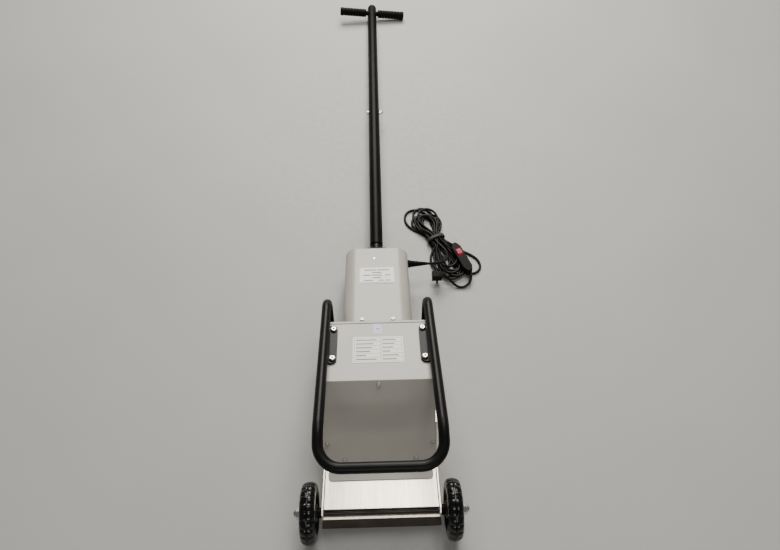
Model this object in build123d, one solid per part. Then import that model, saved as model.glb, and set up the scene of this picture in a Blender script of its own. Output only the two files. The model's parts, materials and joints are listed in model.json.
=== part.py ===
"""Floor drum sander: a wheeled body with a stainless hood over a sanding drum, and a hinged pole handle.

Units are millimetres and +Z is up. The origin is on the floor, at the middle of the bounding box.
+X is the machine's width, and +Y runs from the wheels towards the T-handle, along the length.

The body is drawn level, in its own axes (x, u, v): the wheel axle is the origin, u runs back
towards the handle and v points up. It rests tail-down on the floor by TILT, so every body shape
goes through body(). The pole is drawn in axes with its pivot as the origin and s along the tube,
and goes through pole(). The cord lies on the floor and is drawn in floor axes through ground().
"""
from build123d import *
from math import atan2, cos, degrees, hypot, pi, radians, sin, tan
import os

os.makedirs("parts", exist_ok=True)

# ---- driving dimensions -------------------------------------------------------------------
WHEEL_R = 62.5
WHEEL_W = 32.0
TRACK = 300.0
TILT = 12.0

SIDE_IN = 121.0            # inner face of the hood's side plates
SIDE_T = 3.0
SHEET = 1.5
APRON_V = 12.0             # top face of the low stainless apron
DECK_V = 82.0              # top face of the hood's raised deck
BASE_V = 80.0              # top face of the motor's base plate
BASE_T = 4.0
BASE_END_U = 626.0

BOX_W = 242.0
RIDGE_U = 199.0
BOX_TOP_V = 183.0
BOX_END_U = 369.0
FLANGE_U = 63.0            # front edge of the cover's foot flange
PANEL_FOOT_U = 107.0       # where the sloping front panel meets that flange

COVER_W = 165.0
COVER_TOP_V = 182.0
COVER_END_U = 634.0
COVER_R = 31.0

DRUM_U = 183.6
DRUM_V = 26.25
DRUM_R = 50.0
DRUM_X0 = -106.0
DRUM_X1 = 82.0

LAY_U = 300.0              # layshaft, and the apex of the bevel pair
SHAFT_V = 129.0            # height of the layshaft and of the motor shaft
GEAR_TEETH = 24
PINION_TEETH = 16
MODULE = 3.0
FACE_W = 14.0

PULLEY_R = 28.0
PULLEY_X0 = 87.0
PULLEY_W = 16.0

PIVOT_Y = 676.0
PIVOT_Z = 66.0
T_REACH = 1224.5           # pivot to crossbar, along the pole
JOINT_REACH = 618.0        # pivot to the joint between the two tubes
LOWER_R = 17.5
UPPER_R = 17.0
GRIP_R = 15.5
GRIP_L = 102.0
CROSSBAR_R = 9.0
T_ROLL = 5.5               # the crossbar leans about the pole, right end down
CAP_CENTRE = 31.5          # the end cap's centre, past the crossbar

GUARD_R = 11.0
CORD_D = 7.0

# The end of the right grip rests on the floor.
GRIP_END = UPPER_R + 6 + GRIP_L
t_z = GRIP_END * sin(radians(T_ROLL)) + GRIP_R * cos(radians(T_ROLL)) + 0.05
slope = atan2(PIVOT_Z - t_z, T_REACH)
POLE_SLOPE = degrees(slope)

Y_LOW = -WHEEL_R
Y_HIGH = PIVOT_Y + (T_REACH + CAP_CENTRE) * cos(slope) + UPPER_R
Y_MID = (Y_LOW + Y_HIGH) / 2


# ---- places and plain shapes ----------------------------------------------------------------
def ground(shape):
    """Floor axes (origin under the axle) to the part's frame."""
    return Pos(0, -Y_MID, 0) * shape


def body(shape):
    """Body axes to the part's frame."""
    return Pos(0, -Y_MID, WHEEL_R) * Rot(-TILT, 0, 0) * shape


def pole(shape):
    """Pole axes to the part's frame."""
    return Pos(0, PIVOT_Y - Y_MID, PIVOT_Z) * Rot(-POLE_SLOPE, 0, 0) * shape


def save(name, shape):
    """Write one node. A list is a group of separate solids."""
    if isinstance(shape, (list, ShapeList)):
        shape = Compound(children=list(shape))
    export_step(shape, f"parts/{name}.step")


def block(x0, x1, y0, y1, z0, z1):
    return Pos((x0 + x1) / 2, (y0 + y1) / 2, (z0 + z1) / 2) * Box(x1 - x0, y1 - y0, z1 - z0)


def rod_x(x0, x1, y, z, r):
    return Pos((x0 + x1) / 2, y, z) * Rot(0, 90, 0) * Cylinder(r, x1 - x0)


def rod_y(y0, y1, x, z, r):
    return Pos(x, (y0 + y1) / 2, z) * Rot(90, 0, 0) * Cylinder(r, y1 - y0)


def rod_z(z0, z1, x, y, r):
    return Pos(x, y, (z0 + z1) / 2) * Cylinder(r, z1 - z0)


def ring_x(x0, x1, y, z, r_out, r_in):
    return rod_x(x0, x1, y, z, r_out) - rod_x(x0 - 1, x1 + 1, y, z, r_in)


def ring_y(y0, y1, x, z, r_out, r_in):
    return rod_y(y0, y1, x, z, r_out) - rod_y(y0 - 1, y1 + 1, x, z, r_in)


def side_prism(points, x0, x1):
    """A side-view outline, given as (y, z) points, drawn out from x0 to x1."""
    outline = Polyline(*[(x0, y, z) for y, z in points], close=True)
    return extrude(make_face(outline), amount=x1 - x0, dir=(1, 0, 0))


def spun_x(points, y=0.0, z=0.0):
    """An outline of (x, radius) points turned about an axis along X."""
    outline = Polyline(*[(x, r, 0) for x, r in points], close=True)
    return Pos(0, y, z) * revolve(make_face(outline), Axis.X, 360)


def hex_x(x0, x1, y, z, flats):
    """A hexagonal nut or head along X."""
    prism = extrude(RegularPolygon(flats / 2, 6, major_radius=False), amount=x1 - x0)
    return Pos(x0, y, z) * Rot(0, 90, 0) * prism


def washer_head(r, h, hole_r):
    """A low button head on +Z with a shallow hexagon socket."""
    head = Cylinder(r, h, align=(Align.CENTER, Align.CENTER, Align.MIN))
    head = fillet(head.edges().sort_by(Axis.Z)[-1], h * 0.45)
    socket = extrude(RegularPolygon(hole_r, 6), amount=h)
    return head - Pos(0, 0, h * 0.45) * socket


def arch(half_w, v0, v1, corner):
    """The motor cover's section in the x-v plane: straight sides and rounded shoulders."""
    face = Plane.XZ * Pos(0, (v0 + v1) / 2) * Rectangle(2 * half_w, v1 - v0)
    top = face.vertices().filter_by(lambda p: p.Z > (v0 + v1) / 2)
    return fillet(top, corner)


def along_u(face, u0, u1):
    """A section in the x-v plane drawn out from u0 to u1."""
    return Pos(0, u0, 0) * extrude(face, amount=u1 - u0, dir=(0, 1, 0))


# ---- wheels and axle --------------------------------------------------------------------------
AXLE_R = 5.0
RUN_GAP = 0.05             # radial clearance of every running fit
HUB_HALF = 16.6
BUSH_R = 9.5


def make_wheel(name, side):
    centre = side * TRACK / 2
    half = WHEEL_W / 2
    tyre_outline = [
        (-half + 2, 40), (-half, 44), (-half, 54), (-half + 2.5, 59), (-half + 6.5, 61.6),
        (-3, WHEEL_R), (3, WHEEL_R), (half - 6.5, 61.6), (half - 2.5, 59), (half, 54),
        (half, 44), (half - 2, 40),
    ]
    save(f"tyre_{name}", body(Pos(centre, 0, 0) * spun_x(tyre_outline)))
    rim_outline = [
        (-HUB_HALF, BUSH_R + RUN_GAP), (HUB_HALF, BUSH_R + RUN_GAP), (HUB_HALF, 16), (11, 19),
        (10.5, 33), (13.4, 36), (13.4, 40),
        (-13.4, 40), (-13.4, 36), (-10.5, 33), (-11, 19), (-HUB_HALF, 16),
    ]
    save(f"wheel_hub_{name}", body(Pos(centre, 0, 0) * spun_x(rim_outline)))


def make_axle():
    nut_x = TRACK / 2 + 19
    tip_x = TRACK / 2 + 27
    save("wheel_axle", body(chamfer(rod_x(-tip_x, tip_x, 0, 0, AXLE_R).edges(), 1.0)))
    bushes = []
    nuts = []
    for side in (-1, 1):
        ends = (side * TRACK / 2 - HUB_HALF, side * TRACK / 2 + HUB_HALF)
        bushes.append(body(ring_x(*ends, 0, 0, BUSH_R, AXLE_R)))
        near = sorted([side * (SIDE_IN + SIDE_T), side * (TRACK / 2 - HUB_HALF - 0.4)])
        bushes.append(body(ring_x(*near, 0, 0, 10.5, AXLE_R)))
        flat = sorted([side * (TRACK / 2 + HUB_HALF + 0.4), side * nut_x])
        nuts.append(body(ring_x(*flat, 0, 0, 13, AXLE_R)))
        # A domed nut, bored blind for the axle's end.
        dome_x = side * (nut_x + 7.5)
        nut = hex_x(*sorted([side * nut_x, side * (nut_x + 8)]), 0, 0, 20)
        nut += Pos(dome_x, 0, 0) * Sphere(8.5) & rod_x(*sorted([dome_x, dome_x + side * 9]), 0, 0, 9)
        nut -= rod_x(*sorted([side * (nut_x - 1), side * (nut_x + 9)]), 0, 0, AXLE_R)
        nuts.append(body(nut))
    save("wheel_bushes", bushes)
    save("axle_nuts", nuts)


# ---- hood -------------------------------------------------------------------------------------
HOOD_WALL_U = 9.0          # recessed front wall, behind the axle
PANEL_DU = RIDGE_U - PANEL_FOOT_U
PANEL_DV = BOX_TOP_V - (APRON_V + 2)
PANEL_L = hypot(PANEL_DU, PANEL_DV)
REAR_WALL_U = 250.0
SLOT_X0 = 84.0             # belt slot
SLOT_X1 = 108.0


def panel_u(v, inside):
    """u of the line parallel to the front panel, a distance inside its outer face."""
    shift = inside * PANEL_L / PANEL_DV
    return PANEL_FOOT_U + shift + (v - APRON_V - 2) * PANEL_DU / PANEL_DV


def make_hood():
    foot = panel_u(APRON_V, 2.0)
    shoulder = panel_u(DECK_V, 2.0)
    # The apron and the slope stop short of the side plates by a narrow dark gap.
    edge = SIDE_IN - 1.8
    apron = block(-edge, edge, 1, foot + 2, APRON_V - SHEET, APRON_V)
    slope_top = [
        (foot, APRON_V), (shoulder, DECK_V), (shoulder + 2, DECK_V - SHEET),
        (foot + 2, APRON_V - SHEET),
    ]
    incline = side_prism(slope_top, -edge, edge)
    deck = block(-SIDE_IN, SIDE_IN, shoulder, REAR_WALL_U + SHEET, DECK_V - SHEET, DECK_V)
    front_wall = block(-SIDE_IN, SIDE_IN, HOOD_WALL_U, HOOD_WALL_U + SHEET, -44, APRON_V)
    sheet = apron + incline + deck + front_wall
    sheet -= block(SLOT_X0, SLOT_X1, 186, REAR_WALL_U + 5, DECK_V - 5, DECK_V + 5)
    sheet -= rod_x(-130, 130, 0, 0, AXLE_R + 0.4)
    save("hood_top_sheet", body(sheet))

    outline = [
        (-10, -12), (-10, 6), (-2, APRON_V + 1), (106, APRON_V + 1), (150, 96), (262, 96),
        (262, 20), (238, -3), (10, -50), (10, -24),
    ]
    for name, x0 in (("left", -SIDE_IN - SIDE_T), ("right", SIDE_IN)):
        plate = side_prism(outline, x0, x0 + SIDE_T)
        plate -= rod_x(x0 - 1, x0 + SIDE_T + 1, 0, 0, AXLE_R)
        plate -= rod_x(x0 - 1, x0 + SIDE_T + 1, DRUM_U, DRUM_V, 12)
        save(f"hood_side_{name}", body(plate))


def make_skirt():
    strip_v = -25.5
    edge = [(4.5, strip_v), (2, strip_v), (-1.5, strip_v - 3), (-1.5, strip_v - 4),
            (0.5, strip_v - 5), (4.5, strip_v - 5)]
    strip = side_prism(edge, -124, 124)
    save("skirt_clamp_strip", body(strip))
    profile = [
        (HOOD_WALL_U, strip_v), (4.5, strip_v), (4.5, strip_v - 5.5), (-0.5, strip_v - 7.5),
        (-3, -44), (-6.5, -60), (-3, -62), (1, -46), (HOOD_WALL_U, -40),
    ]
    skirt = side_prism(profile, -129, 129)
    # The ends taper in towards the clamp strip.
    for side in (-1, 1):
        wedge = Polyline(
            (side * 123.5, -30, strip_v + 1), (side * 135, -30, strip_v + 1),
            (side * 135, -30, -62), (side * 129, -30, -62), close=True)
        skirt -= extrude(make_face(wedge), amount=60, dir=(0, 1, 0))
    save("dust_skirt", body(skirt))


# ---- base plate and box cover -----------------------------------------------------------------
EAR_U0 = 428.0
EAR_U1 = 464.0


def make_base():
    low = BASE_V - BASE_T
    plate = block(-SIDE_IN, SIDE_IN, REAR_WALL_U - 12, 372, low, BASE_V)
    plate += block(-84, 84, 372, BASE_END_U, low, BASE_V)
    plate += block(-134, 134, EAR_U0, EAR_U1, low, BASE_V)
    plate -= block(SLOT_X0, SLOT_X1, REAR_WALL_U - 20, 340, low - 1, BASE_V + 1)
    save("base_plate", body(plate))

    rear = block(-SIDE_IN, SIDE_IN, REAR_WALL_U, REAR_WALL_U + SHEET, 2, low)
    rear += block(80, 116, REAR_WALL_U, 342, 33, low)
    rear -= block(SHEET + 80, 116 - SHEET, REAR_WALL_U - 1, 342 - SHEET, 33 + SHEET, low + 1)
    save("belt_guard", body(rear))

    feet = []
    for x in (-58, 58):
        foot = body(rod_z(40, low, x, 600, 15))
        floor = Pos(0, 0, -50) * Box(2000, 4000, 100)
        feet.append(foot - floor)
    save("rubber_feet", feet)


def make_box_cover():
    half = BOX_W / 2
    top = BOX_TOP_V
    outer = [
        (PANEL_FOOT_U, APRON_V + 2), (RIDGE_U, top), (BOX_END_U, top), (BOX_END_U, DECK_V),
        (panel_u(DECK_V, 2.0), DECK_V), (panel_u(APRON_V + 2, 2.0), APRON_V + 2),
    ]
    inner = [
        (panel_u(0, SHEET), 0), (panel_u(top - SHEET, SHEET), top - SHEET),
        (BOX_END_U - SHEET, top - SHEET), (BOX_END_U - SHEET, 0),
    ]
    shell = side_prism(outer, -half, half)
    shell -= side_prism(inner, -half + SHEET, half - SHEET)
    shell -= rod_y(BOX_END_U - 3, BOX_END_U + 1, 0, SHAFT_V, 24)
    flange = block(-half + 8, half - 8, FLANGE_U, PANEL_FOOT_U + 1, APRON_V, APRON_V + 2)
    corners = flange.edges().filter_by(Axis.Z).sort_by(Axis.Y)[:2]
    shell += fillet(corners, 9)
    lip = block(-half, half, BOX_END_U - 6, BOX_END_U, top, top + 1.2)
    save("box_cover", body(shell + lip))


# ---- transmission -----------------------------------------------------------------------------
SHAFT_R = 7.5
CASE_X0 = -38.0
CASE_X1 = 66.0
CASE_U0 = 252.0
CASE_U1 = 352.0
CASE_V1 = 175.0
CASE_WALL = 10.0
LAY_BEARING_R = 16.0


def bevel_wheel(teeth, mate_teeth, bore_r, hub_l):
    """A straight bevel wheel: apex at the origin, axis along +X, teeth facing the apex."""
    pitch_r = MODULE * teeth / 2
    back_x = MODULE * mate_teeth / 2
    cone_l = hypot(pitch_r, back_x)
    out_x = back_x / cone_l
    out_r = pitch_r / cone_l
    small = (cone_l - FACE_W) / cone_l
    root = 0.95 * MODULE
    tip = 0.75 * MODULE

    def at(depth, scale):
        """A point on the back cone, a depth outside the pitch line, as (x, radius)."""
        return ((back_x - depth * out_r) * scale, (pitch_r + depth * out_x) * scale)

    back = at(-root, 1.0)[0]
    core = [at(-root, 1.0), at(-root, small), (at(-root, small)[0], bore_r),
            (back + hub_l, bore_r), (back + hub_l, pitch_r * 0.55), (back, pitch_r * 0.62)]
    wheel = spun_x(core)
    half_pitch = pi * MODULE / 4
    widths = ((-root - 0.4, 0.92 * half_pitch), (tip, 0.38 * half_pitch))

    def section(scale):
        (low_d, low_w), (high_d, high_w) = widths
        low = at(low_d, scale)
        high = at(high_d, scale)
        return Wire.make_polygon([
            (low[0], low[1], -low_w * scale), (high[0], high[1], -high_w * scale),
            (high[0], high[1], high_w * scale), (low[0], low[1], low_w * scale)])

    tooth = Solid.make_loft([section(1.0), section(small)], True)
    return wheel, [Rot(360 / teeth * k, 0, 0) * tooth for k in range(teeth)]


def make_gears():
    wheel, teeth = bevel_wheel(GEAR_TEETH, PINION_TEETH, SHAFT_R, 14)
    gear = wheel.fuse(*teeth)
    save("bevel_gear", body(Pos(0, LAY_U, SHAFT_V) * gear))
    wheel, teeth = bevel_wheel(PINION_TEETH, GEAR_TEETH, SHAFT_R, 1.5)
    pinion = wheel.fuse(*teeth)
    # A gap of the pinion faces the tooth of the gear that stands on the line of centres.
    half_tooth = 180 / PINION_TEETH
    pinion = Rot(0, 0, 90) * Rot(half_tooth, 0, 0) * pinion
    save("bevel_pinion", body(Pos(0, LAY_U, SHAFT_V) * pinion))


def bearing_x(x0, x1, u, v, r_out):
    return ring_x(x0, x1, u, v, r_out, SHAFT_R + RUN_GAP)


def make_gear_case():
    outer = block(CASE_X0, CASE_X1, CASE_U0, CASE_U1, BASE_V, CASE_V1)
    outer = fillet(outer.edges().filter_by(Axis.Z), 8)
    inner = block(CASE_X0 + CASE_WALL, CASE_X1 - CASE_WALL, CASE_U0 + CASE_WALL,
                  CASE_U1 - CASE_WALL, BASE_V + 8, CASE_V1 - 5)
    case = outer - inner
    case -= rod_x(CASE_X0 - 1, CASE_X1 + 1, LAY_U, SHAFT_V, LAY_BEARING_R)
    case -= rod_y(LAY_U + 20, CASE_U1 + 1, 0, SHAFT_V, LAY_BEARING_R)
    lid_line = CASE_V1 - 5
    lid = outer & block(CASE_X0 - 1, CASE_X1 + 1, CASE_U0 - 1, CASE_U1 + 1, lid_line, CASE_V1)
    save("gear_case", [body(case - lid), body(lid)])
    bearings = []
    for x0 in (CASE_X0 + 0.5, CASE_X1 - CASE_WALL + 0.5):
        bearings.append(body(bearing_x(x0, x0 + 9, LAY_U, SHAFT_V, LAY_BEARING_R)))
    save("layshaft_bearings", bearings)


def make_pulley(name, u, v):
    x0 = PULLEY_X0
    rim = PULLEY_R + 7
    outline = [
        (x0, SHAFT_R), (x0 + PULLEY_W, SHAFT_R), (x0 + PULLEY_W, rim), (x0 + PULLEY_W - 2, rim),
        (x0 + PULLEY_W - 2, PULLEY_R), (x0 + 2, PULLEY_R), (x0 + 2, rim), (x0, rim),
    ]
    save(name, body(spun_x(outline, u, v)))


def make_belt():
    du = LAY_U - DRUM_U
    dv = SHAFT_V - DRUM_V
    span = hypot(du, dv)
    outer = SlotCenterToCenter(span, 2 * (PULLEY_R + 5.5))
    inner = SlotCenterToCenter(span, 2 * (PULLEY_R + 0.5))
    loop = extrude(outer - inner, amount=PULLEY_W - 6)
    upright = Plane.YZ * Rot(0, 0, degrees(atan2(dv, du))) * loop
    middle = Pos(PULLEY_X0 + 3, (LAY_U + DRUM_U) / 2, (SHAFT_V + DRUM_V) / 2)
    save("drive_belt", body(middle * upright))


def make_layshaft():
    shaft = rod_x(CASE_X0 - 3, PULLEY_X0 + PULLEY_W + 2, LAY_U, SHAFT_V, SHAFT_R)
    save("layshaft", body(shaft))
    make_pulley("layshaft_pulley", LAY_U, SHAFT_V)
    make_pulley("drum_pulley", DRUM_U, DRUM_V)
    make_belt()


# ---- drum -------------------------------------------------------------------------------------
def make_drum():
    core_r = DRUM_R - 2
    outline = [
        (DRUM_X0, SHAFT_R), (DRUM_X1, SHAFT_R), (DRUM_X1, 18), (DRUM_X1 - 8, 18),
        (DRUM_X1 - 8, core_r - 6), (DRUM_X1, core_r - 6), (DRUM_X1, core_r), (DRUM_X0, core_r),
        (DRUM_X0, core_r - 6), (DRUM_X0 + 8, core_r - 6), (DRUM_X0 + 8, 18), (DRUM_X0, 18),
    ]
    save("drum_core", body(spun_x(outline, DRUM_U, DRUM_V)))
    sleeve = ring_x(DRUM_X0, DRUM_X1, DRUM_U, DRUM_V, DRUM_R, core_r)
    save("abrasive_sleeve", body(sleeve))
    save("drum_shaft", body(rod_x(-SIDE_IN - 2, SIDE_IN + 2, DRUM_U, DRUM_V, SHAFT_R)))
    units = []
    for side in (-1, 1):
        span = sorted([side * (SIDE_IN - 9), side * SIDE_IN])
        units.append(body(bearing_x(*span, DRUM_U, DRUM_V, 14)))
        units.append(body(ring_x(*span, DRUM_U, DRUM_V, 22, 14)))
    save("drum_bearings", units)


# ---- motor ------------------------------------------------------------------------------------
MOTOR_R = 47.0
STATOR_U0 = 400.0
STATOR_U1 = 540.0


def make_motor():
    v = SHAFT_V
    shell = ring_y(STATOR_U0, STATOR_U1, 0, v, MOTOR_R, 44)
    feet = block(-38, 38, STATOR_U0 + 12, STATOR_U1 - 12, BASE_V, v - 38)
    feet -= rod_y(STATOR_U0, STATOR_U1, 0, v, MOTOR_R - 1)
    save("motor_housing", body(shell + feet))
    stator = [ring_y(STATOR_U0 + 25, STATOR_U1 - 25, 0, v, 44, 26.5)]
    stator += [ring_y(a, b, 0, v, 41, 29) for a, b in ((408, 425), (515, 532))]
    save("motor_stator", [body(piece) for piece in stator])
    rotor = ring_y(STATOR_U0 + 25, STATOR_U1 - 25, 0, v, 26, SHAFT_R)
    save("motor_rotor", [body(rotor), body(rod_y(LAY_U + 22, 592, 0, v, SHAFT_R))])
    bells = []
    races = []
    for u0, u1 in ((384, STATOR_U0), (STATOR_U1, 556)):
        bells.append(body(ring_y(u0, u1, 0, v, MOTOR_R, LAY_BEARING_R)))
    for mid in (CASE_U1 - CASE_WALL / 2, 392, 548):
        race = ring_y(mid - 4.5, mid + 4.5, 0, v, LAY_BEARING_R, SHAFT_R + RUN_GAP)
        races.append(body(race))
    save("motor_end_bells", bells)
    save("motor_bearings", races)
    hub = ring_y(566, 588, 0, v, 15, SHAFT_R)
    disc = ring_y(566, 569, 0, v, 43, SHAFT_R)
    fan = hub + disc
    for k in range(7):
        blade = block(-1, 1, 568, 584, 13, 42)
        fan += Pos(0, 0, v) * Rot(0, 360 / 7 * k, 0) * blade
    save("cooling_fan", body(fan))
    terminals = block(54, 78, 556, 596, BASE_V, BASE_V + 30)
    terminals = fillet(terminals.edges().filter_by(Axis.Z), 3)
    capacitor = rod_y(430, 505, 64.5, BASE_V + 15.5, 15)
    save("capacitor_and_terminals", [body(capacitor), body(terminals)])


def make_motor_cover():
    half = COVER_W / 2
    outer = along_u(arch(half, BASE_V, COVER_TOP_V, COVER_R), BOX_END_U, COVER_END_U)
    inner = along_u(arch(half - SHEET, BASE_V - 5, COVER_TOP_V - SHEET, COVER_R - SHEET),
                    BOX_END_U - 1, COVER_END_U + 1)
    shell = outer - inner
    shell -= rod_x(half - 4, half + 2, GLAND_U, GLAND_V, 7.2)
    save("motor_cover", body(shell))
    rear = along_u(arch(half - SHEET, BASE_V, COVER_TOP_V - SHEET, COVER_R - SHEET),
                   COVER_END_U - 3.5, COVER_END_U - 0.5)
    for side in (-1, 1):
        for k in range(6):
            vent_v = 98 + 9 * k
            x0, x1 = sorted([side * 38, side * 70])
            rear -= block(x0, x1, COVER_END_U - 6, COVER_END_U + 2, vent_v, vent_v + 4)
    save("cover_rear_plate", body(rear))


# ---- guard loop -------------------------------------------------------------------------------
BOLT_U0 = 256.0
BOLT_U1 = 340.5
GUARD_U = 442.0            # the guard's upright rear legs
GUARD_X = 120.0


def make_guard():
    """A tube loop: up from the base, forward over both sides of the box and round the front."""
    x = GUARD_X
    left = [(-x, GUARD_U, BASE_V), (-x, GUARD_U, 192), (-118.8, 64, 213), (-118.8, -1.5, 179)]
    right = [(123.6, -1.5, 179), (123.6, 64, 213), (x, GUARD_U, 192), (x, GUARD_U, BASE_V)]
    path = FilletPolyline(*left, *right, radius=[38, 60, 46, 46, 60, 38])
    start = Plane(origin=path @ 0, z_dir=path % 0)
    tube = sweep(start * (Circle(GUARD_R) - Circle(GUARD_R - 2)), path=path)
    print("guard tube volume over section x length:",
          round(tube.volume / (pi * (GUARD_R**2 - (GUARD_R - 2)**2) * path.length), 4))
    save("guard_loop", body(tube))
    solid = sweep(start * Circle(GUARD_R), path=path)
    brackets = []
    for side, bolt_x in ((-1, -100.5), (1, 102.5)):
        slot = SlotCenterToCenter(BOLT_U1 - BOLT_U0, 25)
        plate = extrude(slot, amount=5)
        plate_x = bolt_x + side * 3.5
        plate = Pos(plate_x, (BOLT_U0 + BOLT_U1) / 2, BOX_TOP_V) * Rot(0, 0, 90) * plate
        web_x = sorted([side * 114, side * 120])
        web = block(*web_x, BOLT_U0 + 5, BOLT_U1 + 5, BOX_TOP_V, BOX_TOP_V + 16)
        brackets.append(body(plate + web - solid))
        foot = block(side * x - 13, side * x + 13, GUARD_U - 13, GUARD_U + 13, BASE_V, BASE_V + 4)
        brackets.append(body(foot - rod_z(BASE_V - 1, BASE_V + 5, side * x, GUARD_U, GUARD_R)))
    save("guard_brackets", brackets)
    bolts = []
    for x in (-100.5, 102.5):
        for u in (BOLT_U0, BOLT_U1):
            head = Pos(x, u, BOX_TOP_V + 5) * washer_head(6.8, 5.5, 3.2)
            bolts.append(body(head))
    save("guard_bolts", bolts)


# ---- plates, labels and screws -----------------------------------------------------------------
def make_trim():
    plates = []
    for half, u0, u1, v, thick, corner in (
            (56.5, 246, 321, BOX_TOP_V, 0.8, 2),
            (10, 329, 360, BOX_TOP_V, 0.4, 1.5),
            (43.5, 498, 557, COVER_TOP_V, 0.8, 2)):
        plate = block(-half, half, u0, u1, v, v + thick)
        plates.append(body(fillet(plate.edges().filter_by(Axis.Z), corner)))
    save("rating_plate", plates[0])
    save("stick_on_labels", plates[1:])
    button = washer_head(5, 3.2, 2.2)
    panel_turn = degrees(atan2(PANEL_DV, PANEL_DU))
    screws = [body(Pos(x, BOX_END_U + 7, COVER_TOP_V) * button) for x in (-36, 36)]
    for x, v in ((0, 174), (-115, 52), (115, 52), (-78, 19), (78, 19)):
        seat = Pos(x, panel_u(v, 0), v) * Rot(panel_turn, 0, 0)
        screws.append(body(seat * button))
    save("cover_screws", screws)


# ---- handle -------------------------------------------------------------------------------------
# The pivot in body axes, for the bracket that is bolted to the body.
PIVOT_H = PIVOT_Z - WHEEL_R
PIVOT_U = PIVOT_Y * cos(radians(TILT)) - PIVOT_H * sin(radians(TILT))
PIVOT_V = PIVOT_Y * sin(radians(TILT)) + PIVOT_H * cos(radians(TILT))
BOLT_R = 4.95
KNUCKLE_R = 16.5


def make_handle_bracket():
    flange = block(-33, 33, COVER_END_U - 0.5, COVER_END_U + 4, PIVOT_V - 24, PIVOT_V + 24)
    bracket = flange
    for x0 in (-24, 19):
        ear = block(x0, x0 + 5, COVER_END_U + 2, PIVOT_U, PIVOT_V - 14, PIVOT_V + 14)
        ear += rod_x(x0, x0 + 5, PIVOT_U, PIVOT_V, 14)
        bracket += ear
    bracket -= rod_x(-30, 30, PIVOT_U, PIVOT_V, BOLT_R)
    save("handle_bracket", body(bracket))
    bolt = rod_x(-24, 33, PIVOT_U, PIVOT_V, BOLT_R)
    bolt += hex_x(-30, -24, PIVOT_U, PIVOT_V, 16)
    nut = hex_x(24, 32, PIVOT_U, PIVOT_V, 16) - rod_x(23, 34, PIVOT_U, PIVOT_V, BOLT_R)
    save("pivot_bolt", [body(bolt), body(nut)])


def make_pole():
    knuckle = rod_x(-17, 17, 0, 0, KNUCKLE_R) + rod_y(0, 24, 0, 0, KNUCKLE_R - 1.5)
    knuckle += rod_y(24, 90, 0, 0, LOWER_R - 2)
    knuckle -= rod_x(-18, 18, 0, 0, BOLT_R + 0.07)
    save("pole_knuckle", pole(knuckle))
    save("lower_pole", pole(ring_y(24, JOINT_REACH, 0, 0, LOWER_R, LOWER_R - 2)
                            - rod_x(-20, 20, JOINT_REACH - 14, 0, 4)))
    plug = rod_y(JOINT_REACH - 70, JOINT_REACH, 0, 0, LOWER_R - 2)
    plug += rod_y(JOINT_REACH, JOINT_REACH + 70, 0, 0, UPPER_R - 2)
    save("pole_spigot", pole(plug - rod_x(-20, 20, JOINT_REACH - 14, 0, 4)))
    upper = ring_y(JOINT_REACH, T_REACH + CAP_CENTRE, 0, 0, UPPER_R, UPPER_R - 2)
    save("upper_pole", pole(upper - Rot(0, T_ROLL, 0) * rod_x(-20, 20, T_REACH, 0, CROSSBAR_R)))
    bolt = rod_x(-LOWER_R, LOWER_R + 9, JOINT_REACH - 14, 0, 4)
    bolt += rod_x(-LOWER_R - 5, -LOWER_R, JOINT_REACH - 14, 0, 6.5)
    nut = hex_x(LOWER_R, LOWER_R + 7, JOINT_REACH - 14, 0, 13)
    dome = Pos(LOWER_R + 7, JOINT_REACH - 14, 0) * Sphere(6.2)
    nut += dome & rod_x(LOWER_R + 7, LOWER_R + 16, JOINT_REACH - 14, 0, 7)
    nut -= rod_x(LOWER_R - 1, LOWER_R + 9, JOINT_REACH - 14, 0, 4)
    save("pole_bolt", [pole(bolt), pole(nut)])
    end = T_REACH + CAP_CENTRE
    cap = Pos(0, end, 0) * Sphere(UPPER_R) & block(-20, 20, end, end + 20, -20, 20)
    cap += rod_y(end - 9, end, 0, 0, UPPER_R - 2)
    save("pole_end_cap", pole(cap))


def make_crossbar():
    half = UPPER_R + 6 + GRIP_L
    bar = rod_x(-half + 4, half - 4, T_REACH, 0, CROSSBAR_R)
    save("crossbar", pole(Rot(0, T_ROLL, 0) * bar))
    for name, side in (("left", -1), ("right", 1)):
        x0 = UPPER_R + 6
        points = [(x0, CROSSBAR_R), (x0, GRIP_R)]
        ribs = 8
        pitch = (GRIP_L - 10) / ribs
        for k in range(ribs):
            a = x0 + 3 + pitch * k
            points += [(a, GRIP_R - 0.3), (a + pitch * 0.12, GRIP_R - 2.2),
                       (a + pitch * 0.3, GRIP_R - 2.2), (a + pitch * 0.42, GRIP_R - 0.3),
                       (a + pitch * 0.7, GRIP_R)]
        end = x0 + GRIP_L
        points += [(end - 3, GRIP_R), (end, GRIP_R - 3), (end, 0), (end - 4, 0),
                   (end - 4, CROSSBAR_R)]
        grip = Pos(0, T_REACH, 0) * spun_x([(side * x, r) for x, r in points])
        save(f"grip_{name}", pole(Rot(0, T_ROLL, 0) * grip))


# ---- cord ---------------------------------------------------------------------------------------
GLAND_U = 616.0
GLAND_V = 140.0
RELIEF_L = 52.0
GLAND_Y = GLAND_U * cos(radians(TILT)) + GLAND_V * sin(radians(TILT))
GLAND_Z = WHEEL_R - GLAND_U * sin(radians(TILT)) + GLAND_V * cos(radians(TILT))
CORD_START_X = COVER_W / 2 + RELIEF_L
HANK_H = 34.0
PLUG_X = 163.0
PLUG_Y = 622.0
PIN_L = 17.0

# Route of the free stretch, in floor axes, chosen by hand.
ROUTE = [
    (CORD_START_X, GLAND_Y, GLAND_Z), (163, 634, 67), (185, 650, 55), (197, 676, 41), (202, 700, 26),
]


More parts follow.
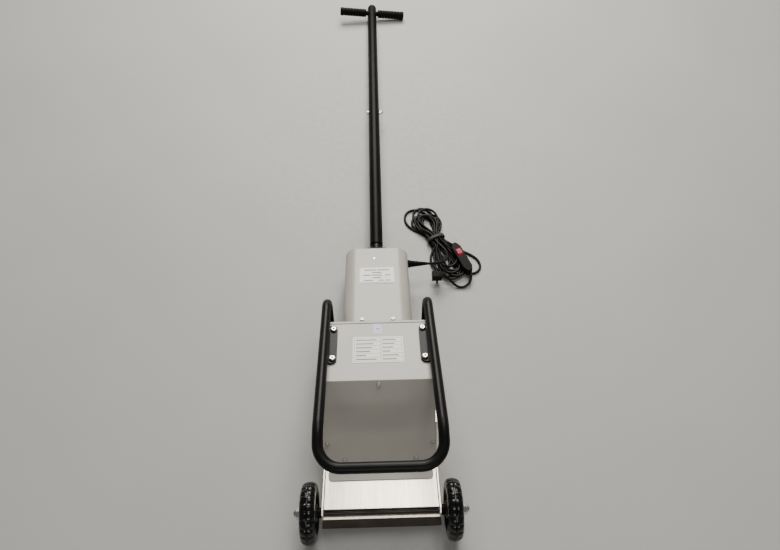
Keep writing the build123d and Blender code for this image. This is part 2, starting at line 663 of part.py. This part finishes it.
def corner_radii(points):
    """0.45 of the shorter run over the tangent of half the turn, at each inner point."""
    radii = []
    for a, b, c in zip(points, points[1:], points[2:]):
        ab = Vector(*b) - Vector(*a)
        bc = Vector(*c) - Vector(*b)
        turn = radians(ab.get_angle(bc))
        radii.append(0.45 * min(ab.length, bc.length) / tan(turn / 2))
    return radii


SWITCH_L = 106.0
SWITCH_H = 22.0
ROCKER_AT = -16.0


def switch_place():
    """The inline switch lies along the hank's right flank, with +X towards its lower end."""
    return Pos(238, 686, 7) * Rot(0, 0, -69)


def make_cord():
    relief = spun_x([(COVER_W / 2 - 6, 0), (COVER_W / 2 - 6, 10), (COVER_W / 2 - SHEET, 10),
                     (COVER_W / 2 - SHEET, 7), (COVER_W / 2, 7), (COVER_W / 2, 10.5),
                     (COVER_W / 2 + 5, 10.5), (CORD_START_X, 4.6), (CORD_START_X, 0)])
    save("strain_relief", ground(Pos(0, GLAND_Y, GLAND_Z) * relief))
    radii = corner_radii(ROUTE)
    print("cord arc radii:", [round(r, 1) for r in radii])
    path = FilletPolyline(*ROUTE, radius=radii)
    start = Plane(origin=path @ 0, z_dir=path % 0)
    tube = sweep(start * Circle(CORD_D / 2), path=path)
    section = pi * CORD_D**2 / 4
    print("cord tube volume over section x length:", round(tube.volume / section / path.length, 4))
    save("cord", ground(tube))

    outline = [
        (148, 690), (152, 656), (170, 636), (205, 626), (236, 606), (262, 606), (292, 636), (300, 686),
        (268, 728), (214, 776), (206, 822), (176, 858), (140, 892), (98, 892), (76, 862),
        (84, 826), (124, 784), (150, 756), (156, 720),
    ]
    flat = make_face(Polyline(*[(x, y, 0) for x, y in outline], close=True))
    hank = extrude(flat, amount=HANK_H, dir=(0, 0, 1))
    place = switch_place()
    half = SWITCH_L / 2
    hank -= place * block(-half - 1, half + 1, -15.5, 15.5, 0, 60)
    hank -= block(PLUG_X - 15, PLUG_X + 14, PLUG_Y - 14, PLUG_Y + 14, -1, 60)
    save("cord_hank", ground(hank))

    plan = [(-half, -7), (-half + 16, -14), (half - 16, -14), (half, -7), (half, 7),
            (half - 16, 14), (-half + 16, 14), (-half, 7)]
    case = extrude(make_face(Polyline(*plan, close=True)), amount=SWITCH_H, dir=(0, 0, 1))
    case = fillet(case.edges().filter_by(Axis.Z), 5)
    case = chamfer(case.faces().sort_by(Axis.Z)[-1].edges(), 2.5)
    case -= block(ROCKER_AT - 14, ROCKER_AT + 14, -7.5, 7.5, 12, 40)
    save("switch_case", ground(place * case))
    rocker = block(-13, 13, -6.7, 6.7, -5, 5)
    rocker &= rod_y(-8, 8, 0, -12, 18)
    rocker = Pos(ROCKER_AT, 0, SWITCH_H - 1.5) * Rot(0, 6, 0) * rocker
    save("switch_rocker", ground(place * rocker))

    plug = fillet(block(-13, 13, -12.5, 12.5, PIN_L, PIN_L + 20).edges().filter_by(Axis.X), 5)
    for y in (-6.5, 6.5):
        plug += rod_z(0.5, PIN_L, 2, y, 2.4)
    save("plug", ground(Pos(PLUG_X, PLUG_Y, 0) * plug))


make_wheel("left", -1)
make_wheel("right", 1)
make_axle()
make_hood()
make_skirt()
make_base()
make_box_cover()
make_gears()
make_gear_case()
make_layshaft()
make_drum()
make_motor()
make_motor_cover()
make_guard()
make_trim()
make_handle_bracket()
make_pole()
make_crossbar()
make_cord()

print("Y_MID", round(Y_MID, 2), "pole slope", round(POLE_SLOPE, 3), "T height", round(t_z, 2))
print("pivot u, v", round(PIVOT_U, 1), round(PIVOT_V, 1))
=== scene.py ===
"""Looks for the floor drum sander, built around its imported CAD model.

Lengths in this file are millimetres until at() or a mesh builder turns them into metres. Body axes
(x, u, v) have the wheel axle as their origin, with u along the tilted machine and v up from it.
Floor axes (x, y, z) have their origin on the floor under the axle.
"""

import json
from math import cos, pi, radians, sin

import bpy
from mathutils import Matrix, Vector


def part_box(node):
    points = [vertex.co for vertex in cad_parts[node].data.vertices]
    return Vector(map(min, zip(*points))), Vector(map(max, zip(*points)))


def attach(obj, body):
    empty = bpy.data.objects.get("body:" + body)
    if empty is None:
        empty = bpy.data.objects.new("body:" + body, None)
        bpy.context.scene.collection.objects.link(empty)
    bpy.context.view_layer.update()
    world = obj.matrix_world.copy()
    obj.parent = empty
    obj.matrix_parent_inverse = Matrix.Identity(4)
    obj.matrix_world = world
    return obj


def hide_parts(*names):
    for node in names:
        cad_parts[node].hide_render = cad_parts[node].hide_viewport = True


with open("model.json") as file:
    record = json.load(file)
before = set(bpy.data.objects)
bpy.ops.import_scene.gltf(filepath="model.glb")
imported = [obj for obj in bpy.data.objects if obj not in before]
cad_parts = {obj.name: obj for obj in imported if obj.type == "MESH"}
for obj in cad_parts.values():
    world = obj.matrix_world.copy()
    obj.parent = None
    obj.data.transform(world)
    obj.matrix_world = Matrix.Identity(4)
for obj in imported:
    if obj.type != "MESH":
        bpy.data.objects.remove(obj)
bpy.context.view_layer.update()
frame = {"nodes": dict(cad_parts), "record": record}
nodes = frame["nodes"]

MM = 0.001
TILT = radians(12)
TRACK = 300.0
tyre_low, tyre_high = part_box("tyre_left")
AXLE_Y = (tyre_low[1] + tyre_high[1]) / 2
AXLE_Z = (tyre_low[2] + tyre_high[2]) / 2
BODY = Matrix.Translation((0, AXLE_Y, AXLE_Z)) @ Matrix.Rotation(-TILT, 4, "X")


def at_body(x, u, v):
    """Body axes in millimetres to the frame in metres."""
    return BODY @ Vector((x * MM, u * MM, v * MM))


def at_floor(x, y, z):
    """Floor axes in millimetres to the frame in metres."""
    return Vector((x * MM, y * MM + AXLE_Y, z * MM))


# ---- camera -------------------------------------------------------------------------------
PITCH = radians(54.64)
YAW = radians(1.65)
ROLL = radians(0.03)
EYE = (7.94, -322.58, 1367.19)    # floor axes
LENS = 27.69
ahead = Vector((sin(YAW) * cos(PITCH), cos(YAW) * cos(PITCH), -sin(PITCH)))
level = Vector((cos(YAW), -sin(YAW), 0))
upward = level.cross(ahead)
right = level * cos(ROLL) + upward * sin(ROLL)
up = upward * cos(ROLL) - level * sin(ROLL)
camera_data = bpy.data.cameras.new("camera")
camera_data.lens = LENS
camera_data.sensor_width = 36
camera_data.clip_start = 0.01
camera = bpy.data.objects.new("camera", camera_data)
bpy.context.collection.objects.link(camera)
turn = Matrix((right, up, -ahead)).transposed().to_4x4()
camera.matrix_world = Matrix.Translation(at_floor(*EYE)) @ turn
bpy.context.scene.camera = camera


# ---- materials ----------------------------------------------------------------------------
def new_material(name):
    mat = bpy.data.materials.new(name)
    mat.use_nodes = True
    return mat, mat.node_tree, mat.node_tree.nodes["Principled BSDF"]


def add(tree, kind, **values):
    node = tree.nodes.new(kind)
    for key, value in values.items():
        if key in node.inputs:
            node.inputs[key].default_value = value
        else:
            setattr(node, key, value)
    return node


def stretched(tree, scale, tilted=False):
    """Object coordinates, scaled per axis, turned to the body's axes if tilted."""
    coords = add(tree, "ShaderNodeTexCoord")
    source = coords.outputs["Object"]
    if tilted:
        level_out = add(tree, "ShaderNodeMapping")
        level_out.inputs["Rotation"].default_value = (TILT, 0, 0)
        tree.links.new(source, level_out.inputs["Vector"])
        source = level_out.outputs["Vector"]
    mapping = add(tree, "ShaderNodeMapping")
    mapping.inputs["Scale"].default_value = scale
    tree.links.new(source, mapping.inputs["Vector"])
    return mapping.outputs["Vector"]


def noise(tree, vector, scale, detail=4.0, rough=0.55):
    node = add(tree, "ShaderNodeTexNoise", Scale=scale, Detail=detail, Roughness=rough)
    tree.links.new(vector, node.inputs["Vector"])
    return node.outputs["Fac"]


def spread(tree, value, low, high, lo=0.3, hi=0.7):
    """A noise value carried from [lo, hi] to [low, high]."""
    node = add(tree, "ShaderNodeMapRange")
    node.inputs["From Min"].default_value = lo
    node.inputs["From Max"].default_value = hi
    node.inputs["To Min"].default_value = low
    node.inputs["To Max"].default_value = high
    tree.links.new(value, node.inputs["Value"])
    return node.outputs["Result"]


# A Mix node's colour sockets, which share their names with its other kinds.
MIX_A, MIX_B, MIX_RESULT = 6, 7, 2


def blend_colours(tree, factor, first, second):
    node = add(tree, "ShaderNodeMix", data_type="RGBA")
    tree.links.new(factor, node.inputs["Factor"])
    node.inputs[MIX_A].default_value = (*first, 1)
    node.inputs[MIX_B].default_value = (*second, 1)
    return node.outputs[MIX_RESULT]


def finish_of(name, dark, light, rough, metal=0.0, stretch=(1, 1, 1), patch=14.0, fine=900.0,
              bump=0.15, depth=0.0002, coat=0.0, edge=0.0, tilted=False, specks=None, gloss=0.5):
    """A finish with slow colour drift, fine grain in roughness and bump, and eased edges."""
    mat, tree, shader = new_material(name)
    space = stretched(tree, stretch, tilted)
    slow = noise(tree, space, patch, 5.0)
    grain = noise(tree, space, fine, 3.0, 0.6)
    colour = blend_colours(tree, spread(tree, slow, 0, 1), dark, light)
    if specks:
        amount, speck_colour, speck_scale = specks
        dots = noise(tree, stretched(tree, (1, 1, 1)), speck_scale, 2.0, 0.5)
        mask = spread(tree, dots, 0, 1, 1 - amount, 1 - amount + 0.03)
        mix = add(tree, "ShaderNodeMix", data_type="RGBA")
        tree.links.new(mask, mix.inputs["Factor"])
        tree.links.new(colour, mix.inputs[MIX_A])
        mix.inputs[MIX_B].default_value = (*speck_colour, 1)
        colour = mix.outputs[MIX_RESULT]
    tree.links.new(colour, shader.inputs["Base Color"])
    tree.links.new(spread(tree, grain, rough[0], rough[1]), shader.inputs["Roughness"])
    shader.inputs["Metallic"].default_value = metal
    shader.inputs["Coat Weight"].default_value = coat
    shader.inputs["Specular IOR Level"].default_value = gloss
    relief = add(tree, "ShaderNodeBump", Strength=bump, Distance=depth)
    tree.links.new(grain, relief.inputs["Height"])
    if edge:
        ease = add(tree, "ShaderNodeBevel", Radius=edge)
        ease.samples = 4
        tree.links.new(ease.outputs["Normal"], relief.inputs["Normal"])
    tree.links.new(relief.outputs["Normal"], shader.inputs["Normal"])
    return mat


STAINLESS = finish_of("brushed_stainless", (0.82, 0.75, 0.65), (1.0, 0.92, 0.81), (0.22, 0.42),
                      metal=1.0, stretch=(1.0, 0.025, 1.0), patch=160, fine=1500, bump=0.12,
                      depth=0.00012, edge=0.0008, tilted=True,
                      specks=(0.25, (0.44, 0.39, 0.33), 60))
PAINT = finish_of("grey_paint", (0.41, 0.39, 0.345), (0.45, 0.43, 0.38), (0.34, 0.46),
                  patch=9, fine=500, bump=0.06, coat=0.08, edge=0.0025)
BLACK = finish_of("black_powder", (0.004, 0.004, 0.004), (0.008, 0.008, 0.0075), (0.30, 0.44),
                  patch=20, fine=1400, bump=0.12, edge=0.0008, gloss=0.16)
TYRE = finish_of("tyre_rubber", (0.002, 0.002, 0.002), (0.005, 0.005, 0.005), (0.12, 0.26),
                 patch=60, fine=1800, bump=0.03, gloss=0.45)
HUB = finish_of("hub_plastic", (0.010, 0.010, 0.011), (0.018, 0.018, 0.019), (0.30, 0.45),
                fine=1200, bump=0.1, edge=0.0006)
SKIRT = finish_of("skirt_rubber", (0.034, 0.025, 0.019), (0.068, 0.052, 0.040), (0.42, 0.66),
                  stretch=(1, 0.3, 1), patch=30, fine=700, bump=0.3)
ZINC = finish_of("zinc", (0.60, 0.59, 0.56), (0.78, 0.77, 0.74), (0.14, 0.30), metal=1.0,
                 patch=200, fine=2200, bump=0.1, edge=0.0005)
SCREW = finish_of("screw_steel", (0.40, 0.39, 0.36), (0.58, 0.57, 0.53), (0.25, 0.42), metal=1.0,
                  patch=300, fine=2500, bump=0.12, edge=0.0004)
DARK_STEEL = finish_of("dark_steel", (0.030, 0.030, 0.030), (0.075, 0.072, 0.068), (0.28, 0.45),
                       metal=1.0, stretch=(0.2, 1, 1), patch=80, fine=900, bump=0.15)
BEARING = finish_of("bearing_steel", (0.50, 0.50, 0.50), (0.62, 0.62, 0.62), (0.15, 0.28),
                    metal=1.0, fine=1500, bump=0.06)
CASTING = finish_of("cast_alloy", (0.40, 0.41, 0.42), (0.55, 0.56, 0.57), (0.42, 0.62), metal=1.0,
                    patch=60, fine=900, bump=0.45)
ABRASIVE = finish_of("abrasive", (0.16, 0.07, 0.035), (0.32, 0.16, 0.085), (0.75, 0.95),
                     patch=900, fine=2600, bump=0.9, depth=0.0004)
WINDING = finish_of("winding", (0.25, 0.11, 0.045), (0.48, 0.24, 0.10), (0.30, 0.50), metal=1.0,
                    stretch=(1, 0.1, 1), patch=500, fine=2600, bump=0.6)
MOULDED = finish_of("moulded_black", (0.005, 0.005, 0.005), (0.010, 0.010, 0.010), (0.34, 0.50),
                    fine=1600, bump=0.2, edge=0.0006, gloss=0.07)
GRIP = finish_of("grip_rubber", (0.003, 0.003, 0.003), (0.006, 0.006, 0.0055), (0.45, 0.65),
                 fine=1800, bump=0.35, gloss=0.10)
# Painted shade: a darker, less glossy copy of the black powder coat, so the pole, lit harder than
# the guard, comes out darker.
POLE_SHADED_POWDER = finish_of("pole_powder_shaded", (0.003, 0.003, 0.003), (0.006, 0.006, 0.0055), (0.34, 0.48),
                       patch=20, fine=1400, bump=0.12, edge=0.0008, gloss=0.07)
JACKET = finish_of("cord_jacket", (0.004, 0.004, 0.004), (0.008, 0.008, 0.0075), (0.30, 0.46),
                   patch=120, fine=2200, bump=0.15, gloss=0.16)
BELT = finish_of("belt_rubber", (0.014, 0.014, 0.014), (0.028, 0.027, 0.026), (0.55, 0.75),
                 fine=1500, bump=0.3)
WHITE = finish_of("plate_white", (0.74, 0.72, 0.67), (0.82, 0.81, 0.76), (0.25, 0.40),
                  patch=40, fine=1500, bump=0.04)
PRINT = finish_of("plate_print", (0.10, 0.07, 0.055), (0.17, 0.12, 0.095), (0.35, 0.50),
                  patch=60, fine=1500, bump=0.04)
LAVENDER = finish_of("sticker_lavender", (0.56, 0.54, 0.68), (0.64, 0.62, 0.76), (0.35, 0.50),
                     patch=50, fine=1500, bump=0.04)


# The switch's red lens: its colour plus a faint painted glow.
def red_glow_material():
    mat, tree, shader = new_material("switch_red")
    space = stretched(tree, (1, 1, 1))
    cloud = noise(tree, space, 90, 3.0)
    colour = blend_colours(tree, spread(tree, cloud, 0, 1), (0.34, 0.004, 0.022),
                           (0.52, 0.014, 0.055))
    tree.links.new(colour, shader.inputs["Base Color"])
    tree.links.new(colour, shader.inputs["Emission Color"])
    # Painted glow: the lens gives off a little light of its own colour.
    shader.inputs["Emission Strength"].default_value = 0.12
    shader.inputs["Roughness"].default_value = 0.34
    shader.inputs["Coat Weight"].default_value = 0.15
    return mat


RED_PAINTED_GLOW = red_glow_material()

BY_SLOT = {
    "tyre_rubber": TYRE, "wheel_centre": HUB, "stainless": STAINLESS, "grey_paint": PAINT,
    "black_paint": BLACK, "skirt_rubber": SKIRT, "zinc": ZINC, "screw_steel": SCREW,
    "dark_steel": DARK_STEEL, "bearing_steel": BEARING, "cast_alloy": CASTING,
    "abrasive": ABRASIVE, "belt_rubber": BELT, "winding": WINDING, "moulded_black": MOULDED,
    "grip_rubber": GRIP, "plate_white": WHITE, "cord_jacket": JACKET, "switch_red": RED_PAINTED_GLOW,
}
# The pole parts take the painted-shade copy of the black powder coat.
BY_NODE = {"upper_pole": POLE_SHADED_POWDER, "lower_pole": POLE_SHADED_POWDER, "crossbar": POLE_SHADED_POWDER}
for part in frame["record"]["subparts"]:
    obj = nodes[part["node"]]
    look = BY_NODE.get(part["node"], BY_SLOT[part["material_slot"]])
    if obj.data.materials:
        for k in range(len(obj.data.materials)):
            obj.data.materials[k] = look
    else:
        obj.data.materials.append(look)


# ---- mesh helpers -------------------------------------------------------------------------
def make_mesh(name, points, faces, materials, body, where=at_body, smooth=True, picks=None):
    """A mesh from millimetre points, riding on a body."""
    data = bpy.data.meshes.new(name)
    data.from_pydata([where(*p) for p in points], [], faces)
    for mat in materials:
        data.materials.append(mat)
    for k, face in enumerate(data.polygons):
        face.use_smooth = smooth
        if picks:
            face.material_index = picks[k]
    data.update()
    made = bpy.data.objects.new(name, data)
    bpy.context.collection.objects.link(made)
    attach(made, body)
    return made


# ---- cord: out of the strain relief, down on its hank, through the switch, to the plug -------
WAIST = Vector((172, 762))
ALONG = Vector((-0.39, 0.921)).normalized()
ACROSS = Vector((0.921, 0.39)).normalized()
TIE_RUN = 14                # the bundle runs straight this far each side of the tie
ROUTE = [
    (134.5, 631.6, 71.4), (163, 634, 67), (185, 650, 55), (197, 676, 41), (196, 706, 30),
]
# Each turn: slot and height at the waist going up, upper lobe (x, y, radius, height),
# slot and height going down, lower lobe.
TURNS = [
    ((-7, 21.8), (148, 826, 26, 15), (7, 21.8), (200, 686, 26, 16)),
    ((0, 21.8), (151, 848, 27, 17), (10.5, 15.7), (206, 664, 26, 16)),
    ((-10.5, 15.7), (139, 828, 26, 13), (3.5, 15.7), (219, 655, 26, 13)),
    ((-3.5, 15.7), (154, 826, 26, 11), (14, 9.6), (206, 647, 26, 10)),
    ((-14, 9.6), (163, 832, 26, 9), (7, 9.6), (180, 680, 26, 8)),
    ((-7, 9.6), (138, 860, 28, 4), (0, 9.6), (192, 657, 26, 7)),
    ((-17.5, 3.5), (146, 828, 26, 6), (3.5, 3.5), (229, 667, 27, 4)),
    ((-10.5, 3.5), (118, 850, 34, 3.5), (17.5, 3.5), (262, 672, 30, 3.5)),
    ((-17.5, 15.7), (142, 824, 26, 9), (17.5, 15.7), (211, 675, 26, 12)),
    ((-3.5, 3.5), (132, 832, 27, 3.5), (21, 9.6), None),
]
TAIL = [
    (219, 735, 18), (229, 709, 18), (238, 686, 18), (246, 666, 18), (253, 647.5, 18),
    (260, 629, 16), (256, 609.5, 10), (240.5, 598, 5), (223, 598, 4), (209, 606, 9.5),
    (191, 620.5, 22.5), (176, 622, 27),
]


def at_waist(slot, height, forward):
    """A point of the bundle at the tie, a little before or after its middle."""
    spot = WAIST + ACROSS * slot + ALONG * forward
    return (spot.x, spot.y, height)


def lobe(place, start_z, end_z):
    """The points of one lobe, out from the waist on one side of it and back on the other."""
    x, y, radius, height = place
    way = Vector((x, y)) - WAIST
    reach = way.length
    way.normalize()
    beside = Vector((-way.y, way.x))
    half = reach * 0.5
    # Four places on the way out: how far along, how far beside in radii, and the share of the
    # climb made by then. The way back passes the same four on the other side.
    outline = (
        (half, 0.66, 0.5), (reach - 0.75 * radius, 1.02, 0.9), (reach + 0.1 * radius, 1.04, 1.0),
        (reach + 0.8 * radius, 0.62, 1.0),
    )
    tip = reach + 1.02 * radius
    points = []
    for along, off, share in outline:
        spot = WAIST + way * along + beside * radius * off
        points.append((spot.x, spot.y, start_z + (height - start_z) * share))
    spot = WAIST + way * tip
    points.append((spot.x, spot.y, height))
    for along, off, share in reversed(outline):
        spot = WAIST + way * along - beside * radius * off
        points.append((spot.x, spot.y, end_z + (height - end_z) * share))
    return points


def cord_points():
    points = list(ROUTE)
    for k, (rise, upper, fall, lower) in enumerate(TURNS):
        points.append(at_waist(*rise, -TIE_RUN))
        points.append(at_waist(*rise, TIE_RUN))
        points += lobe(upper, rise[1], fall[1])
        points.append(at_waist(*fall, TIE_RUN))
        points.append(at_waist(*fall, -TIE_RUN))
        if lower:
            next_rise = TURNS[k + 1][0]
            points += lobe(lower, fall[1], next_rise[1])
    return points + TAIL


def make_cord(name, points, diameter, resolution):
    data = bpy.data.curves.new(name, "CURVE")
    data.dimensions = "3D"
    spline = data.splines.new("NURBS")
    spline.points.add(len(points) - 1)
    for point, place in zip(spline.points, points):
        point.co = (*at_floor(*place), 1)
    spline.order_u = 3
    spline.use_endpoint_u = True
    spline.resolution_u = resolution
    data.bevel_depth = diameter * MM / 2
    data.bevel_resolution = 4
    data.use_fill_caps = True
    made = bpy.data.objects.new(name, data)
    bpy.context.collection.objects.link(made)
    data.materials.append(JACKET)
    return made


CORD_D = 7.0
route = cord_points()
mains_cord = make_cord("mains_cord", route, CORD_D, 8)
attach(mains_cord, "chassis")
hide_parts("cord", "cord_hank")


def make_relief():
    """The ribbed, tapered sleeve where the cord leaves the motor cover."""
    steps = [(80.5, 9.6), (82.6, 9.8), (82.6, 10.4), (88.0, 10.4), (89.0, 9.9)]
    rings = 8
    for k in range(rings):
        x = 89.5 + k * 5.3
        r = 9.7 - (k + 0.3) * 0.62
        steps += [(x, r), (x + 3.4, r - 0.35), (x + 3.8, r - 1.3), (x + 5.0, r - 1.45)]
    steps += [(132.5, 4.6), (134.4, 4.4), (134.5, 3.6)]
    centre_y, centre_z = ROUTE[0][1:]
    around = 32
    points = []
    for x, r in steps:
        for j in range(around):
            a = 2 * pi * j / around
            points.append((x, centre_y + r * cos(a), centre_z + r * sin(a)))
    faces = []
    for k in range(len(steps) - 1):
        for j in range(around):
            n = (j + 1) % around
            low, high = k * around, (k + 1) * around
            faces.append((low + j, high + j, high + n, low + n))
    faces.append(tuple(range(around)))
    faces.append(tuple(reversed(range((len(steps) - 1) * around, len(steps) * around))))
    made = make_mesh("relief_sleeve", points, faces, [MOULDED], "chassis", at_floor)
    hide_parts("strain_relief")
    return made


relief = make_relief()


def make_tie():
    """A soft strap round the waist of the hank."""
    around = 40
    half_w = 26.0
    low, high = 0.5, 28.6
    boxy = 2.6                  # 2 would make the strap's loop an ellipse
    points = []
    section = ((-5, 0.0), (-4.4, 0.9), (4.4, 0.9), (5, 0.0), (4.4, -0.6), (-4.4, -0.6))
    for k in range(around):
        a = 2 * pi * k / around
        c, s = cos(a), sin(a)
        squash = (abs(c) ** boxy + abs(s) ** boxy) ** (-1 / boxy)
        for forward, proud in section:
            across = (half_w + proud) * c * squash
            z = (low + high) / 2 + ((high - low) / 2 - 1 + proud) * s * squash
            spot = WAIST + ACROSS * across + ALONG * forward
            points.append((spot.x, spot.y, z))
    n = len(section)
    faces = []
    for k in range(around):
        m = (k + 1) % around
        for j in range(n):
            i = (j + 1) % n
            faces.append((k * n + j, k * n + i, m * n + i, m * n + j))
    return make_mesh("hank_tie", points, faces, [BELT], "chassis", at_floor)


tie = make_tie()


# ---- tyres --------------------------------------------------------------------------------
def make_tyre(name, side):
    """A crowned tyre with a thin centre line and rounded ribs across each half."""
    centre = side * TRACK / 2
    # (x from the middle, radius, depth of the dips between the cross ribs there)
    profile = [
        (-13.6, 40.0, 0), (-15.4, 42.0, 0), (-16.0, 45.0, 0), (-15.8, 51.0, 0), (-15.2, 53.6, 0),
        (-15.0, 54.2, 0.3), (-14.0, 56.6, 1.4), (-12.0, 58.9, 1.9), (-9.4, 60.5, 2.0),
        (-6.4, 61.5, 2.0), (-2.2, 62.2, 1.8), (-1.5, 61.2, 0.6), (-0.9, 62.3, 0), (0, 62.45, 0),
    ]
    profile += [(-x, r, d) for x, r, d in reversed(profile[:-1])]
    ribs = 22
    steps = 10
    columns = ribs * steps
    points = []
    for k in range(columns):
        a = 2 * pi * k / columns
        share = (k % steps) / steps
        dip = 1 - abs(sin(pi * share)) ** 0.55
        for x, r, depth in profile:
            radius = r - depth * dip
            points.append((centre + x, radius * cos(a), radius * sin(a)))
    n = len(profile)
    faces = []
    for k in range(columns):
        m = (k + 1) % columns
        for j in range(n):
            i = (j + 1) % n
            faces.append((k * n + j, k * n + i, m * n + i, m * n + j))
    made = make_mesh(f"tread_{name}", points, faces, [TYRE], f"wheel_{name}")
    made.data.set_sharp_from_angle(angle=radians(50))
    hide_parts(f"tyre_{name}")
    return made


for name, side in (("left", -1), ("right", 1)):
    make_tyre(name, side)


# ---- plates and labels --------------------------------------------------------------------
def make_plate(name, x0, x1, u0, u1, v, thick, marks, face, ink):
    """A thin plate with printed bars, each mark being (x0, x1, u0, u1)."""
    corner = 2.0
    ring = []
    for cx, cu, start in ((x1 - corner, u1 - corner, 0), (x0 + corner, u1 - corner, 90),
                          (x0 + corner, u0 + corner, 180), (x1 - corner, u0 + corner, 270)):
        for k in range(5):
            a = radians(start + 22.5 * k)
            ring.append((cx + corner * cos(a), cu + corner * sin(a)))
    n = len(ring)
    points = [(x, u, v) for x, u in ring] + [(x, u, v + thick) for x, u in ring]
    faces = [tuple(reversed(range(n))), tuple(range(n, 2 * n))]
    picks = [0, 0]
    for k in range(n):
        m = (k + 1) % n
        faces.append((k, m, n + m, n + k))
        picks.append(0)
    top = v + thick
    for a, b, c, d in marks:
        first = len(points)
        for z in (top - 0.1, top + 0.06):
            points += [(a, c, z), (b, c, z), (b, d, z), (a, d, z)]
        low = [first + k for k in range(4)]
        high = [first + 4 + k for k in range(4)]
        faces += [tuple(reversed(low)), tuple(high)]
        faces += [(low[k], low[(k + 1) % 4], high[(k + 1) % 4], high[k]) for k in range(4)]
        picks += [1] * 6
    return make_mesh(name, points, faces, [face, ink], "chassis", smooth=False,
                     picks=picks)


def table_marks(x0, x1, u0, u1, rows, columns, bars):
    """Ruled lines and short blank bars, as on a data plate with nothing written on it."""
    marks = []
    line = 0.35
    for k in range(rows + 1):
        u = u0 + (u1 - u0) * k / rows
        marks.append((x0, x1, u - line, u + line))
    edges = [x0 + (x1 - x0) * share for share in columns]
    for x in edges:
        marks.append((x - line, x + line, u0, u1))
    pitch = (u1 - u0) / rows
    for k in range(rows):
        for j in range(len(edges) - 1):
            long = (edges[j + 1] - edges[j] - 8) * bars[(3 * k + 2 * j) % len(bars)]
            u = u0 + pitch * (k + 0.5)
            marks.append((edges[j] + 4, edges[j] + 4 + long, u - 0.17 * pitch, u + 0.12 * pitch))
    return marks


BOX_TOP_V = 183.0
COVER_TOP_V = 182.0
plate = make_plate("data_plate", -56.5, 56.5, 246, 321, BOX_TOP_V, 0.8,
                   table_marks(-53, 53, 250, 317, 6, (0.0, 0.55, 1.0),
                               (0.9, 0.62, 0.78, 0.45, 0.7)),
                   WHITE, PRINT)
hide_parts("rating_plate")
sticker = make_plate("box_sticker", -10, 10, 329, 360, BOX_TOP_V, 0.4,
                     [(-4, -1.2, 343, 347), (0.6, 3.4, 343, 347)], LAVENDER, PRINT)
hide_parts("stick_on_labels")
# Centred rows of blank bars: (start, end) from -1 to 1 across the label.
LABEL_ROWS = (
    ((-0.80, -0.05), (0.05, 0.80)),
    ((-0.30, 0.30),),
    ((-0.86, -0.40), (-0.32, 0.35), (0.50, 0.86)),
    ((-0.26, 0.26),),
    ((-0.82, -0.25), (0.12, 0.40), (0.52, 0.86)),
)
LABEL_HALF_W = 40
LABEL_FOOT_U = 507
LABEL_PITCH = 9.6
LABEL_BAR = 3.8
label_marks = [(-42, 42, 500, 502)]
for k, row in enumerate(reversed(LABEL_ROWS)):
    for start, end in row:
        row_u = LABEL_FOOT_U + LABEL_PITCH * k
        label_marks.append((start * LABEL_HALF_W, end * LABEL_HALF_W, row_u, row_u + LABEL_BAR))
make_plate("cover_label", -43.5, 43.5, 498, 557, COVER_TOP_V, 0.8, label_marks, WHITE, PRINT)


def make_discs(name, places, radius, high, material):
    """Small round marks, each a short cylinder standing on (x, u, v)."""
    around = 20
    points = []
    faces = []
    for x, u, v in places:
        first = len(points)
        for z in (v, v + high):
            for k in range(around):
                a = 2 * pi * k / around
                points.append((x + radius * cos(a), u + radius * sin(a), z))
        faces.append(tuple(first + k for k in reversed(range(around))))
        faces.append(tuple(first + around + k for k in range(around)))
        for k in range(around):
            m = (k + 1) % around
            faces.append((first + k, first + m, first + around + m, first + around + k))
    return make_mesh(name, points, faces, [material], "chassis", smooth=False)


BRACKET_TOP_V = BOX_TOP_V + 5
BOLT_TOP_V = BRACKET_TOP_V + 5.5
# Painted shade: flat dark discs on the bracket bolts stand for the shade inside their hex sockets.
sockets = [(x, u, BOLT_TOP_V - 0.3) for x in (-100.5, 102.5) for u in (256, 340.5)]
make_discs("bolt_socket_shade", sockets, 2.6, 0.45, DARK_STEEL)
make_discs("cover_stud", [(-6, 593, COVER_TOP_V - 0.2)], 2.4, 1.2, ZINC)


# ---- floor and light ----------------------------------------------------------------------
floor_data = bpy.data.meshes.new("floor")
floor_data.from_pydata([(-9, -9, 0), (9, -9, 0), (9, 9, 0), (-9, 9, 0)], [], [(0, 1, 2, 3)])
floor = bpy.data.objects.new("floor", floor_data)
bpy.context.collection.objects.link(floor)
floor_data.materials.append(finish_of("floor_plain", (0.455, 0.455, 0.435), (0.485, 0.485, 0.465),
                                      (0.55, 0.7), patch=2, fine=60, bump=0.02))


def area_light(name, place, target, size, power, colour=(1, 1, 1)):
    data = bpy.data.lights.new(name, "AREA")
    data.shape = "RECTANGLE"
    data.size, data.size_y = size
    data.energy = power
    data.color = colour
    made = bpy.data.objects.new(name, data)
    bpy.context.collection.objects.link(made)
    made.location = place
    made.rotation_euler = (Vector(target) - Vector(place)).to_track_quat("-Z", "Y").to_euler()


area_light("overhead", (0.5, 0.5, 3.0), (0, -0.3, 0), (1.3, 1.3), 44, (1.0, 0.985, 0.95))
area_light("far_wall", (0.05, 2.9, 2.6), (0, -0.4, 0.1), (2.1, 2.0), 200, (1.0, 0.965, 0.90))
area_light("behind_camera", (0.2, -3.3, 2.0), (0, -0.8, 0.1), (2.2, 1.1), 20, (1.0, 0.98, 0.95))


world = bpy.data.worlds.new("room")
world.use_nodes = True
world.node_tree.nodes["Background"].inputs["Color"].default_value = (0.62, 0.62, 0.61, 1)
world.node_tree.nodes["Background"].inputs["Strength"].default_value = 0.20
bpy.context.scene.world = world

bpy.context.view_layer.update()
